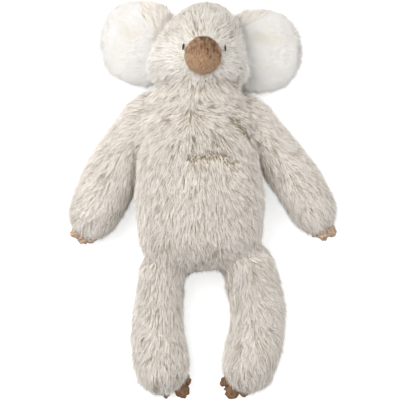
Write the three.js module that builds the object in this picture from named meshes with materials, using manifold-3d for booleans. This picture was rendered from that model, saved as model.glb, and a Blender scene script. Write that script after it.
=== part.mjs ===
import * as THREE from "three";
import { mergeVertices } from "three/addons/utils/BufferGeometryUtils.js";
import Module from "manifold-3d";

// A plush koala lying on its back on the floor, in millimetres.
// +Z is up, out of the koala's front. +Y runs towards its head. +X is the koala's own left.
// The origin is on the floor, under the middle of the torso.

const wasm = await Module();
wasm.setup();

// Driving dimensions
const clearance = 0.3;
const floorSink = 0.5;
const plushWall = 9;
const earWall = 5;
const noseWall = 2.5;
const limbFacets = { rings: 9, steps: 14 };
const bigFacets = { rings: 11, steps: 20 };
const insideFacets = { rings: 8, steps: 12 };
const lobeFacets = { rings: 6, steps: 9 };
const noseFacets = { rings: 10, steps: 16 };
const rodSteps = 16;
const farAway = 400;

// Every soft form swells and tapers through stations. Each station holds four shares: how far
// across and along the form its middle line is, and its half width and half depth there.

// Torso, from the crotch to the shoulders
const torso = {
  middleX: -3,
  crotchY: -84,
  length: 166,
  halfWidth: 63,
  halfDepth: 37.5,
  stationShares: [
    [0.048, 0, 0.92, 0.88],
    [0.032, 0.205, 0.952, 0.96],
    [0, 0.416, 1, 1],
    [0, 0.627, 0.968, 1],
    [0, 0.807, 0.905, 0.987],
    [0, 1, 0.825, 0.907],
  ],
  startDome: { wide: 22, deep: 34 },
  endDome: { wide: 18, deep: 30 },
  seam: 36,
  seatDepth: 16.5,
  pelletShare: 0.35,
};
const torsoTopY = torso.crotchY + torso.length;
const seatY = torso.crotchY + torso.seatDepth;
const pelletY = torso.crotchY + torso.pelletShare * torso.length;

// Head, from the chin to the crown. It nods about a line through the neck.
const head = {
  middleX: -3,
  aboveTorso: 10,
  length: 90,
  halfWidth: 50.5,
  halfDepth: 37.5,
  stationShares: [
    [0, 0, 0.91, 0.907],
    [0.01, 0.222, 1, 0.987],
    [0.06, 0.378, 0.95, 1],
    [0.1, 0.556, 0.851, 0.947],
    [0.16, 0.733, 0.733, 0.853],
    [0.2, 1, 0.634, 0.72],
  ],
  startDome: { wide: 22, deep: 34 },
  endDome: { wide: 24, deep: 26 },
  seam: 34,
};
const chin = { x: head.middleX, y: torsoTopY + head.aboveTorso };
const nod = { belowChin: 6, z: 24 };

// Neck fold, from inside the shoulders to inside the chin
const neck = {
  intoTorso: 16,
  intoHead: 12,
  halfWidth: 50,
  halfDepth: 29.5,
  stationShares: [
    [0, 0, 0.92, 0.983],
    [-0.01, 0.553, 1, 1],
    [-0.01, 1, 0.94, 0.983],
  ],
  dome: { wide: 12, deep: 14 },
};

// Nose, eyes and mouth. Their places are shares of the head's half width and length.
const nose = { placeShares: [0.119, 0.412], halfWide: 18.6, halfLong: 19, high: 19, heightShare: 0.96 };
const eyeSize = { across: 2.6, along: 7.2, thick: 1.4 };
const eyes = [
  { name: "eye_stitching_right", placeShares: [-0.269, 0.505], lean: -10 },
  { name: "eye_stitching_left", placeShares: [0.554, 0.492], lean: 4 },
];
const mouth = { placeShares: [0.172, 0.131], across: 4.2, along: 3, thick: 1.4 };

// Ears, from inside the head outwards. The root is in shares of the head's half width and
// length. The line on the floor plan that the ear folds about is in shares of its own spread
// and half width.
const earRight = {
  side: "right",
  rootShares: [-0.376, 0.444],
  spread: -79,
  rise: 15,
  halfWidth: 41,
  stationShares: [
    [0, 0, 0.83, 1],
    [0.354, 0.467, 1, 1],
    [0.658, 0.733, 0.95, 1],
    [1, 1, 0.805, 1],
  ],
  hingeShares: [
    [0.601, -0.927],
    [0.291, 0.927],
  ],
};
const earLeft = {
  side: "left",
  rootShares: [0.495, 0.433],
  spread: 78,
  rise: 3,
  halfWidth: 39,
  stationShares: [
    [0, 0, 0.872, 1],
    [0.359, 0.33, 1, 1],
    [0.667, 0.67, 0.95, 1],
    [1, 1, 0.77, 1],
  ],
  hingeShares: [
    [0.506, -0.949],
    [0.372, 1],
  ],
};
const ears = [earRight, earLeft];
const earHalfDepth = 11;
const earDome = { wide: 24, deep: 22 };

// Arms, from the shoulder to the paw. The root is in shares of the torso's half width and
// length. Each claw is a place beside the tip of the paw, in shares of the arm's half width,
// and a share of the claws' half width.
const shoulder = { belowTop: 22, z: 21, seamDrop: 2.5 };
const armHalfDepth = 19.5;
const armRight = {
  side: "right",
  rootShares: [-0.587, 0.988],
  spread: -72,
  fall: 130,
  halfWidth: 24.5,
  stationShares: [
    [0, 0, 0.9, 0.923],
    [0.25, 0.192, 0.92, 0.974],
    [0.417, 0.331, 0.98, 1],
    [0.653, 0.531, 1, 1],
    [0.861, 0.769, 0.92, 0.974],
    [0.958, 0.908, 0.816, 0.923],
    [1, 1, 0.735, 0.872],
  ],
  clawShares: [
    [-0.45, 0.12, 0.85],
    [-0.16, -0.02, 1],
    [0.12, -0.04, 0.85],
  ],
};
const armLeft = {
  side: "left",
  rootShares: [0.619, 0.982],
  spread: 85,
  fall: 124,
  halfWidth: 21.5,
  stationShares: [
    [0, 0, 0.93, 0.923],
    [0.212, 0.161, 0.93, 0.974],
    [0.376, 0.306, 0.93, 1],
    [0.565, 0.46, 0.977, 1],
    [0.765, 0.661, 1, 0.974],
    [0.906, 0.823, 0.953, 0.923],
    [1, 1, 0.837, 0.872],
  ],
  clawShares: [
    [-0.28, 0.03, 0.85],
    [0.07, -0.08, 1],
    [0.42, 0, 0.85],
  ],
};
const arms = [armRight, armLeft];
const armDome = { wide: 19, deep: 19 };
const handClaw = { half: 6.5, z: 17 };

// Legs, from the hip to the foot. The hip end is round about the joint, below the seat. It and
// the claws are placed in shares of the leg's half width.
const legHalfDepth = 22;
const hipGap = 0.5;
const hip = { y: seatY - hipGap - legHalfDepth, z: legHalfDepth - floorSink };
const legRight = {
  side: "right",
  hipX: -37,
  length: 118,
  halfWidth: 27,
  hipEndShares: [0.04, 0.815],
  stationShares: [
    [0, 0, 0.852, 1],
    [-0.15, 0.203, 0.833, 1],
    [-0.185, 0.466, 0.926, 1],
    [-0.07, 0.703, 1, 1.045],
    [0.07, 1, 0.889, 1],
  ],
  pelletShare: 0.66,
  clawShares: [
    [0.02, 0.05, 0.67],
    [0.57, 0.15, 1],
    [0.74, 0.5, 0.7],
  ],
};
const legLeft = {
  side: "left",
  hipX: 50,
  length: 114,
  halfWidth: 25.5,
  hipEndShares: [-0.08, 0.863],
  stationShares: [
    [0, 0, 0.941, 1],
    [0.275, 0.219, 0.961, 1],
    [0.314, 0.421, 0.961, 1],
    [0.04, 0.71, 1, 1.045],
    [-0.275, 1, 0.863, 1],
  ],
  pelletShare: 0.65,
  clawShares: [
    [-0.63, 0.3, 0.67],
    [-0.39, -0.02, 1],
    [0.08, -0.02, 0.75],
  ],
};
const legs = [legRight, legLeft];
const hipDome = { wide: 16, deep: legHalfDepth };
const footDome = { wide: 21, deep: 23 };
const footClaw = { half: 7.5, z: 17 };
const crotchX = 6;
const clawLengthShare = 1.35;
const clawThickShare = 0.95;

// Surfaces
function cloth(colour, roughness) {
  return new THREE.MeshStandardMaterial({ color: colour, roughness, metalness: 0 });
}
const looks = {
  bodyPlush: () => cloth(0xe0d9d1, 1),
  facePlush: () => cloth(0xe8e5e1, 1),
  backPlush: () => cloth(0xcfc7bd, 1),
  earWhite: () => cloth(0xf5f4f1, 1),
  earGrey: () => cloth(0xcbc3b8, 1),
  gather: () => cloth(0xd5cdc3, 1),
  nosePile: () => cloth(0xa98764, 0.95),
  thread: () => cloth(0x5f503c, 0.8),
  suede: () => cloth(0x9a7452, 0.9),
  wadding: () => cloth(0xf4f4f0, 1),
  pellets: () => cloth(0xdad7c8, 0.7),
};

// Solids for joins and cuts
function toSolid(geometry) {
  const bare = geometry.clone();
  bare.deleteAttribute("normal");
  bare.deleteAttribute("uv");
  const merged = mergeVertices(bare, 1e-5);
  return new wasm.Manifold(
    new wasm.Mesh({
      numProp: 3,
      vertProperties: new Float32Array(merged.attributes.position.array),
      triVerts: new Uint32Array(merged.index.array),
    }),
  );
}

function toGeometry(solid) {
  const mesh = solid.getMesh();
  const geometry = new THREE.BufferGeometry();
  geometry.setAttribute("position", new THREE.BufferAttribute(mesh.vertProperties, 3));
  geometry.setIndex(new THREE.BufferAttribute(mesh.triVerts, 1));
  return geometry;
}

// A box between two corners, each an array of x, y and z
function box(low, high) {
  const size = high.map((value, axis) => value - low[axis]);
  const geometry = new THREE.BoxGeometry(...size);
  geometry.translate(...low.map((value, axis) => value + size[axis] / 2));
  return toSolid(geometry);
}

const aboveFloor = box([-farAway, -farAway, 0], [farAway, farAway, farAway]);

function slab(axis, from, to) {
  const low = [-farAway, -farAway, -farAway];
  const high = [farAway, farAway, farAway];
  low[axis] = from;
  high[axis] = to;
  return box(low, high);
}

// The stations of a form, from its shares: root is where its middle line starts, spread and
// length are how far it goes across and along
function stationsOf(root, spread, length, halfWidth, halfDepth, stationShares) {
  return stationShares.map(([across, along, wide, deep]) => ({
    x: root.x + across * spread,
    y: root.y + along * length,
    wide: wide * halfWidth,
    deep: deep * halfDepth,
  }));
}

// A soft form that swells and tapers along its middle line, with a dome at each end.
// grow adds to its size all round and may be negative.
function softForm(stations, startDome, endDome, { rings, steps }, grow = 0) {
  const line = new THREE.CatmullRomCurve3(stations.map((at) => new THREE.Vector3(at.x, at.y, 0)));
  const sizes = new THREE.CatmullRomCurve3(
    stations.map((at) => new THREE.Vector3(at.wide, at.deep, 0)),
    false,
    "catmullrom",
    0.5,
  );
  const length = line.getLength();
  const positions = [];
  const indices = [];

  function domeShare(distance, dome) {
    const reach = dome + grow;
    return distance < reach ? Math.sqrt(1 - (1 - distance / reach) ** 2) : 1;
  }

  function roundShare(along, measure) {
    return domeShare(along + grow, startDome[measure]) * domeShare(length + grow - along, endDome[measure]);
  }

  function section(share) {
    const along = share * (length + 2 * grow) - grow;
    const inside = Math.min(Math.max(along / length, 0), 1);
    const t = line.getUtoTmapping(inside);
    const ahead = line.getTangent(t);
    const centre = line.getPoint(t).addScaledVector(ahead, along - inside * length);
    const size = sizes.getPoint(t);
    const wide = (size.x + grow) * roundShare(along, "wide");
    const deep = (size.y + grow) * roundShare(along, "deep");
    return { centre, ahead, height: size.y - floorSink, wide, deep };
  }

  for (let ring = 0; ring <= rings; ring += 1) {
    const { centre, ahead, height, wide, deep } = section((1 - Math.cos((Math.PI * ring) / rings)) / 2);
    const pole = ring === 0 || ring === rings;
    for (let step = 0; step < (pole ? 1 : steps); step += 1) {
      const angle = (2 * Math.PI * (step + 0.5)) / steps;
      const across = pole ? 0 : wide * Math.cos(angle);
      const up = pole ? 0 : deep * Math.sin(angle);
      positions.push(centre.x + ahead.y * across, centre.y - ahead.x * across, height + up);
    }
  }
  const ringStart = (ring) => 1 + (ring - 1) * steps;
  const last = ringStart(rings);
  for (let step = 0; step < steps; step += 1) {
    const next = (step + 1) % steps;
    indices.push(0, ringStart(1) + step, ringStart(1) + next);
    for (let ring = 1; ring < rings - 1; ring += 1) {
      const a = ringStart(ring) + step;
      const b = ringStart(ring) + next;
      const c = ringStart(ring + 1) + step;
      const d = ringStart(ring + 1) + next;
      indices.push(a, c, b, b, c, d);
    }
    indices.push(last, ringStart(rings - 1) + next, ringStart(rings - 1) + step);
  }
  const geometry = new THREE.BufferGeometry();
  geometry.setAttribute("position", new THREE.Float32BufferAttribute(positions, 3));
  geometry.setIndex(indices);
  return toSolid(geometry);
}

// The outside or, with a negative grow, the inside of a limb or an ear
function limbForm(stations, startDome, endDome) {
  return (grow) => softForm(stations, startDome, endDome, grow < 0 ? insideFacets : limbFacets, grow);
}

// The scene graph: one group for each body that moves, placed at its joint
const koala = new THREE.Group();

function bodyGroup(parent, pivot) {
  const group = new THREE.Group();
  parent.add(group);
  group.position.copy(pivot);
  parent.updateWorldMatrix(true, false);
  group.position.sub(parent.getWorldPosition(new THREE.Vector3()));
  group.updateWorldMatrix(true, false);
  return group;
}

function addPiece(group, name, solid, look) {
  const geometry = toGeometry(solid);
  const place = group.getWorldPosition(new THREE.Vector3());
  geometry.translate(-place.x, -place.y, -place.z);
  geometry.computeVertexNormals();
  const mesh = new THREE.Mesh(geometry, look());
  mesh.name = name;
  group.add(mesh);
}

// Two plush panels sewn round a filling, from the outer form, the hollow inside it and the
// filling's own form. The side seam lies level at the given height.
function addSewnPanels(group, names, outer, hollow, seam, frontLook, backLook) {
  const shell = outer.intersect(aboveFloor).subtract(hollow);
  const front = shell.intersect(slab(2, seam + clearance / 2, farAway));
  const back = shell.intersect(slab(2, -farAway, seam - clearance / 2));
  addPiece(group, names.front, front, frontLook);
  addPiece(group, names.back, back, backLook);
}

// Torso
const crotch = { x: torso.middleX, y: torso.crotchY };
const torsoStations = stationsOf(
  crotch,
  torso.halfWidth,
  torso.length,
  torso.halfWidth,
  torso.halfDepth,
  torso.stationShares,
);
function torsoForm(grow = 0) {
  const facets = grow < 0 ? insideFacets : bigFacets;
  return softForm(torsoStations, torso.startDome, torso.endDome, facets, grow);
}
const torsoGroup = bodyGroup(koala, new THREE.Vector3());
const torsoOuter = torsoForm().intersect(slab(1, seatY, farAway));
const torsoHollow = torsoForm(-plushWall).intersect(slab(1, seatY + plushWall, farAway));
const torsoFilling = torsoForm(-plushWall - clearance);
addSewnPanels(
  torsoGroup,
  { front: "torso_front_panel", back: "torso_back_panel" },
  torsoOuter,
  torsoHollow,
  torso.seam,
  looks.bodyPlush,
  looks.backPlush,
);
const seatFloorY = seatY + plushWall + clearance;
addPiece(
  torsoGroup,
  "torso_stuffing",
  torsoFilling.intersect(slab(1, pelletY + clearance / 2, farAway)),
  looks.wadding,
);
addPiece(
  torsoGroup,
  "seat_pellet_bag",
  torsoFilling.intersect(slab(1, seatFloorY, pelletY - clearance / 2)),
  looks.pellets,
);

// Head
const headStations = stationsOf(
  chin,
  head.halfWidth,
  head.length,
  head.halfWidth,
  head.halfDepth,
  head.stationShares,
);
function headForm(grow = 0) {
  const facets = grow < 0 ? insideFacets : bigFacets;
  return softForm(headStations, head.startDome, head.endDome, facets, grow);
}
const headGroup = bodyGroup(torsoGroup, new THREE.Vector3(chin.x, chin.y - nod.belowChin, nod.z));
addSewnPanels(
  headGroup,
  { front: "head_face_panel", back: "head_back_panel" },
  headForm(),
  headForm(-plushWall),
  head.seam,
  looks.facePlush,
  looks.backPlush,
);
addPiece(headGroup, "head_stuffing", headForm(-plushWall - clearance), looks.wadding);

// A place on the face, from its shares
function headPlace([across, along]) {
  return { x: chin.x + across * head.halfWidth, y: chin.y + along * head.length };
}

// Nose: a round cover of short pile over its own ball of filling, sewn to the face
function ball(x, y, z, halfX, halfY, halfZ, { rings, steps }) {
  const geometry = new THREE.SphereGeometry(1, steps, rings);
  geometry.rotateX(Math.PI / 2);
  geometry.scale(halfX, halfY, halfZ);
  geometry.translate(x, y, z);
  return geometry;
}
function noseForm(grow) {
  const { x, y } = headPlace(nose.placeShares);
  const base = 2 * head.halfDepth * nose.heightShare;
  const halves = [nose.halfWide + grow, nose.halfLong + grow, nose.high + grow];
  return toSolid(ball(x, y, base, ...halves, noseFacets));
}
const faceCut = headForm(clearance);
const noseFilling = noseForm(-noseWall - clearance).subtract(headForm(2 * clearance));
const noseCover = noseForm(0).subtract(noseForm(-noseWall)).subtract(faceCut);
addPiece(headGroup, "nose_cover", noseCover, looks.nosePile);
addPiece(headGroup, "nose_filling", noseFilling, looks.wadding);

// Eyes and mouth: thread sewn on the face, lying on its curve
const faceGeometry = new THREE.Mesh(toGeometry(headForm()));
function faceSpot(x, y) {
  const down = new THREE.Raycaster(new THREE.Vector3(x, y, farAway), new THREE.Vector3(0, 0, -1));
  const hit = down.intersectObject(faceGeometry)[0];
  return { point: hit.point, normal: hit.face.normal };
}
function addStitching(name, placeShares, size, lean) {
  const place = headPlace(placeShares);
  const { point, normal } = faceSpot(place.x, place.y);
  const geometry = ball(0, 0, 0, size.across / 2, size.along / 2, size.thick, lobeFacets);
  geometry.rotateZ(THREE.MathUtils.degToRad(lean));
  const turn = new THREE.Quaternion().setFromUnitVectors(new THREE.Vector3(0, 0, 1), normal);
  geometry.applyQuaternion(turn);
  geometry.translate(point.x, point.y, point.z);
  addPiece(headGroup, name, toSolid(geometry).subtract(faceCut), looks.thread);
}
for (const eye of eyes) {
  addStitching(eye.name, eye.placeShares, eyeSize, eye.lean);
}
addStitching("mouth_stitching", mouth.placeShares, mouth, 0);

// A short soft fold of plush where two bodies are sewn together. It gives way when they move.
function addGather(group, name, region, neighbours) {
  const fold = neighbours.reduce((solid, neighbour) => solid.subtract(neighbour), region);
  const pieces = fold.decompose().sort((a, b) => b.volume() - a.volume());
  addPiece(group, name, pieces[0].intersect(aboveFloor), looks.gather);
}

// Neck
const neckRoot = { x: torso.middleX, y: torsoTopY - neck.intoTorso };
const neckLength = chin.y + neck.intoHead - neckRoot.y;
const neckStations = stationsOf(
  neckRoot,
  neck.halfWidth,
  neckLength,
  neck.halfWidth,
  neck.halfDepth,
  neck.stationShares,
);
const neckForm = softForm(neckStations, neck.dome, neck.dome, limbFacets);
addGather(torsoGroup, "neck_gather", neckForm, [torsoForm(clearance), headForm(clearance)]);

// Ears: a grey outer panel below, a white inner panel above and thin wadding between.
// The root of each is round about the line that it folds on.
function rootBlock([from, to], radius, outward) {
  const middle = from.clone().add(to).multiplyScalar(0.5);
  const turn = Math.atan2(to.y - from.y, to.x - from.x);
  const block = new THREE.BoxGeometry(farAway, farAway / 2, farAway);
  block.translate(0, (outward * farAway) / 4, 0);
  block.rotateZ(turn);
  block.translate(middle.x, middle.y, 0);
  const rod = new THREE.CylinderGeometry(radius, radius, farAway, rodSteps);
  rod.rotateZ(turn + Math.PI / 2);
  rod.translate(middle.x, middle.y, earHalfDepth - floorSink);
  return toSolid(block).subtract(toSolid(rod));
}
for (const ear of ears) {
  const towardsHead = ear.side === "right" ? -1 : 1;
  const { spread, rise, halfWidth, stationShares } = ear;
  const earRoot = headPlace(ear.rootShares);
  const hinge = ear.hingeShares.map(
    ([across, along]) => new THREE.Vector2(earRoot.x + across * spread, earRoot.y + along * halfWidth),
  );
  const middle = hinge[0].clone().add(hinge[1]).multiplyScalar(0.5);
  const group = bodyGroup(headGroup, new THREE.Vector3(middle.x, middle.y, earHalfDepth - floorSink));
  const stations = stationsOf(earRoot, spread, rise, halfWidth, earHalfDepth, stationShares);
  const form = limbForm(stations, earDome, earDome);
  const root = (radius) => rootBlock(hinge, radius, towardsHead);
  addSewnPanels(
    group,
    { front: `ear_${ear.side}_inner_panel`, back: `ear_${ear.side}_outer_panel` },
    form(0).subtract(root(earHalfDepth)),
    form(-earWall).subtract(root(earHalfDepth - earWall)),
    earHalfDepth - floorSink,
    looks.earWhite,
    looks.earGrey,
  );
  const wadding = form(-earWall - clearance).subtract(root(earHalfDepth - earWall - clearance));
  addPiece(group, `ear_${ear.side}_wadding`, wadding, looks.wadding);
  const core = form(clearance).subtract(root(earHalfDepth + clearance));
  addGather(group, `ear_${ear.side}_gather`, form(0), [core, headForm(clearance)]);
}

// Suede claws at the end of a paw, each cut clear of the paw and of the claws before it. They
// point away from the middle of the paw.
function clawForm(place, pawMiddle, half, z, grow) {
  const heading = Math.atan2(place.y - pawMiddle.y, place.x - pawMiddle.x) - Math.PI / 2;
  const halves = [half, half * clawLengthShare, half * clawThickShare];
  const geometry = ball(0, 0, 0, ...halves.map((size) => size + grow), lobeFacets);
  geometry.rotateZ(heading);
  geometry.translate(place.x, place.y, z);
  return toSolid(geometry);
}
function addClaws(group, limbName, limb, stations, outside, { half, z }) {
  const tip = stations[stations.length - 1];
  const pawMiddle = stations[stations.length - 2];
  let taken = outside;
  limb.clawShares.forEach(([across, along, sizeShare], index) => {
    const place = { x: tip.x + across * limb.halfWidth, y: tip.y + along * limb.halfWidth };
    const claw = (grow) => clawForm(place, pawMiddle, half * sizeShare, z, grow);
    addPiece(group, `${limbName}_claw_${index + 1}`, claw(0).subtract(taken), looks.suede);
    taken = taken.add(claw(clearance));
  });
}

// Arms: everything beyond a plane beside the torso swings, so the torso never meets it
const armPlane = torso.halfWidth + 2 * clearance;
for (const arm of arms) {
  const out = arm.side === "right" ? -1 : 1;
  const beyond = (distance) => {
    const x = torso.middleX + out * distance;
    return out > 0 ? slab(0, x, farAway) : slab(0, -farAway, x);
  };
  const within = slab(0, torso.middleX - armPlane + clearance, torso.middleX + armPlane - clearance);
  const pivot = new THREE.Vector3(torso.middleX + out * armPlane, torsoTopY - shoulder.belowTop, shoulder.z);
  const group = bodyGroup(torsoGroup, pivot);
  const { rootShares, spread, fall, halfWidth, stationShares } = arm;
  const root = {
    x: torso.middleX + rootShares[0] * torso.halfWidth,
    y: torso.crotchY + rootShares[1] * torso.length,
  };
  const stations = stationsOf(root, spread, -fall, halfWidth, armHalfDepth, stationShares);
  const form = limbForm(stations, armDome, armDome);
  addSewnPanels(
    group,
    { front: `arm_${arm.side}_front_panel`, back: `arm_${arm.side}_back_panel` },
    form(0).intersect(beyond(armPlane)),
    form(-plushWall).intersect(beyond(armPlane + plushWall)),
    shoulder.z - shoulder.seamDrop,
    looks.bodyPlush,
    looks.backPlush,
  );
  const stuffing = form(-plushWall - clearance).intersect(beyond(armPlane + plushWall + clearance));
  addPiece(group, `arm_${arm.side}_stuffing`, stuffing, looks.wadding);
  addClaws(group, `arm_${arm.side}`, arm, stations, form(clearance), handClaw);
  addGather(torsoGroup, `shoulder_${arm.side}_gather`, form(0).intersect(within), [
    torsoForm(clearance),
    headForm(clearance),
    neckForm,
  ]);
}

// Legs: the round hip end turns in place below the flat underside of the torso's core
for (const leg of legs) {
  const out = leg.side === "right" ? -1 : 1;
  const group = bodyGroup(torsoGroup, new THREE.Vector3(leg.hipX, hip.y, hip.z));
  const [endAcross, endWide] = leg.hipEndShares;
  const hipEnd = {
    x: leg.hipX + endAcross * leg.halfWidth,
    y: hip.y + legHalfDepth,
    wide: endWide * leg.halfWidth,
    deep: legHalfDepth,
  };
  const hipPlace = { x: leg.hipX, y: hip.y };
  const stations = [
    hipEnd,
    ...stationsOf(hipPlace, leg.halfWidth, -leg.length, leg.halfWidth, legHalfDepth, leg.stationShares),
  ];
  const form = limbForm(stations, hipDome, footDome);
  addSewnPanels(
    group,
    { front: `leg_${leg.side}_front_panel`, back: `leg_${leg.side}_back_panel` },
    form(0),
    form(-plushWall),
    hip.z,
    looks.bodyPlush,
    looks.backPlush,
  );
  const filling = form(-plushWall - clearance);
  const pouchY = hip.y - leg.pelletShare * leg.length;
  addPiece(
    group,
    `leg_${leg.side}_stuffing`,
    filling.intersect(slab(1, pouchY + clearance / 2, farAway)),
    looks.wadding,
  );
  addPiece(
    group,
    `foot_${leg.side}_pellet_pouch`,
    filling.intersect(slab(1, -farAway, pouchY - clearance / 2)),
    looks.pellets,
  );
  addClaws(group, `foot_${leg.side}`, leg, stations, form(clearance), footClaw);
  const parting = crotchX + (out * clearance) / 2;
  const ownSide = out > 0 ? slab(0, parting, farAway) : slab(0, -farAway, parting);
  const tip = torsoForm().intersect(slab(1, -farAway, seatY - clearance)).intersect(ownSide);
  addGather(torsoGroup, `hip_${leg.side}_gather`, tip, [form(clearance)]);
}

export default koala;
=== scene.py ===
import math

import bpy
import numpy as np
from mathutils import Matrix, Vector
from mathutils.bvhtree import BVHTree
from mathutils.kdtree import KDTree


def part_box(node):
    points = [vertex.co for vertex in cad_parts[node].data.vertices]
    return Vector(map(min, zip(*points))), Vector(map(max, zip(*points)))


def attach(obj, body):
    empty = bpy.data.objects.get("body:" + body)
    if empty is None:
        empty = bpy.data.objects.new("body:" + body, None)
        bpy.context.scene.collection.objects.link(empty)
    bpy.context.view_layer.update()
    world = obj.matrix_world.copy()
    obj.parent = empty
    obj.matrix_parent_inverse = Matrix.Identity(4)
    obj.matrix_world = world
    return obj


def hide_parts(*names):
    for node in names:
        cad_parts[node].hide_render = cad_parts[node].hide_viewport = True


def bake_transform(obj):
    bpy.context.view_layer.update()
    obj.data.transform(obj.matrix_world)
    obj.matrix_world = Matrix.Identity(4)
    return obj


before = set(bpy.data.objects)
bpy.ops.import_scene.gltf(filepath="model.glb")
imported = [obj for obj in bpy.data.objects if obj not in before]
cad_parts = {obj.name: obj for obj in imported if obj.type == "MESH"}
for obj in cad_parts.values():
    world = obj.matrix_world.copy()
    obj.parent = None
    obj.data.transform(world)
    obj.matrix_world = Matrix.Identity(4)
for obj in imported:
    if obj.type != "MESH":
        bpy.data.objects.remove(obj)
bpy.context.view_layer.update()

bpy.context.scene.view_settings.view_transform = "Standard"

MM = 0.001
SIDES = {"right": -1, "left": 1}

# Camera, as the photograph was taken: from straight above, one millimetre to each pixel
PHOTO_WIDTH = 0.4
PHOTO_CENTRE = Vector((0, -0.015, 0.04))
CAMERA_HEIGHT = 6.0
SENSOR = 36.0


def make_camera():
    data = bpy.data.cameras.new("camera")
    data.sensor_width = SENSOR
    data.lens = SENSOR * CAMERA_HEIGHT / PHOTO_WIDTH
    data.clip_end = 40
    camera = bpy.data.objects.new("camera", data)
    camera.location = PHOTO_CENTRE + Vector((0, 0, CAMERA_HEIGHT))
    bpy.context.scene.collection.objects.link(camera)
    bpy.context.scene.camera = camera


# Materials: small helpers, then one function for each material
def new_material(name):
    material = bpy.data.materials.new(name)
    material.use_nodes = True
    nodes = material.node_tree.nodes
    shader = nodes["Principled BSDF"]
    return material, nodes, material.node_tree.links, shader


def srgb(red, green, blue):
    def linear(value):
        share = value / 255
        return share / 12.92 if share <= 0.04045 else ((share + 0.055) / 1.055) ** 2.4

    return (linear(red), linear(green), linear(blue), 1.0)


def add_ramp(nodes, stops):
    ramp = nodes.new("ShaderNodeValToRGB")
    elements = ramp.color_ramp.elements
    while len(elements) < len(stops):
        elements.new(0.5)
    for element, (place, colour) in zip(elements, stops):
        element.position = place
        element.color = colour
    return ramp


def fur_material(name, root, middle, tip, crease, roughness=0.75, sheen=0.25,
                 middle_tone=(0.86, 0.845, 0.81, 1)):
    """Pile whose colour runs along each lock, with darker roots that are painted shade deep in the pile, and
    whose tone darkens and warms it towards the crease colour: painted shade in partings and between locks,
    and the pile's own differences and cream patches.
    """
    material, nodes, links, shader = new_material(name)
    along = nodes.new("ShaderNodeAttribute")
    along.attribute_name = "along"
    tone = nodes.new("ShaderNodeAttribute")
    tone.attribute_name = "tone"
    # the roots are darker than the tips: painted shade deep in the pile
    length_ramp = add_ramp(nodes, [(0.0, root), (0.45, middle), (1.0, tip)])
    # towards tone 0 the pile takes the crease colour, the colour of the painted shade where tone is lowered
    # for partings, lock rims and gaps
    tone_ramp = add_ramp(nodes, [(0.0, crease), (0.45, middle_tone), (1.0, (1, 1, 1, 1))])
    mix = nodes.new("ShaderNodeMix")
    mix.data_type = "RGBA"
    mix.blend_type = "MULTIPLY"
    mix.inputs["Factor"].default_value = 1.0
    links.new(along.outputs["Fac"], length_ramp.inputs["Fac"])
    links.new(tone.outputs["Fac"], tone_ramp.inputs["Fac"])
    links.new(length_ramp.outputs["Color"], mix.inputs[6])
    links.new(tone_ramp.outputs["Color"], mix.inputs[7])
    links.new(mix.outputs[2], shader.inputs["Base Color"])
    shader.inputs["Roughness"].default_value = roughness
    shader.inputs["Specular IOR Level"].default_value = 0.2
    shader.inputs["Sheen Weight"].default_value = sheen
    shader.inputs["Sheen Roughness"].default_value = 0.6
    return material


def backing_material(name, dark, light, size=2.5 * MM, bump=0.5):
    """The knitted ground under a pile, with its soft mottling."""
    material, nodes, links, shader = new_material(name)
    place = nodes.new("ShaderNodeTexCoord")
    noise = nodes.new("ShaderNodeTexNoise")
    noise.inputs["Scale"].default_value = 1 / size
    noise.inputs["Detail"].default_value = 4
    ramp = add_ramp(nodes, [(0.3, dark), (0.7, light)])
    bumps = nodes.new("ShaderNodeBump")
    bumps.inputs["Strength"].default_value = bump
    bumps.inputs["Distance"].default_value = 0.6 * MM
    links.new(place.outputs["Object"], noise.inputs["Vector"])
    links.new(noise.outputs["Fac"], ramp.inputs["Fac"])
    links.new(ramp.outputs["Color"], shader.inputs["Base Color"])
    links.new(noise.outputs["Fac"], bumps.inputs["Height"])
    links.new(bumps.outputs["Normal"], shader.inputs["Normal"])
    shader.inputs["Roughness"].default_value = 0.9
    shader.inputs["Specular IOR Level"].default_value = 0.15
    return material


# Forms cast from the frame: closed shapes that follow the outside of the solids they stand for.
# A ray that would run along the seam between two panels starts beside it.
OFF_SEAM = 1 * MM


def nodes_tree(names):
    points = []
    faces = []
    for name in names:
        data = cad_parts[name].data
        first = len(points)
        points += [vertex.co.copy() for vertex in data.vertices]
        faces += [[first + index for index in face.vertices] for face in data.polygons]
    return BVHTree.FromPolygons(points, faces)


def unit(vectors):
    return vectors / np.maximum(np.linalg.norm(vectors, axis=-1, keepdims=True), 1e-12)


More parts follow.
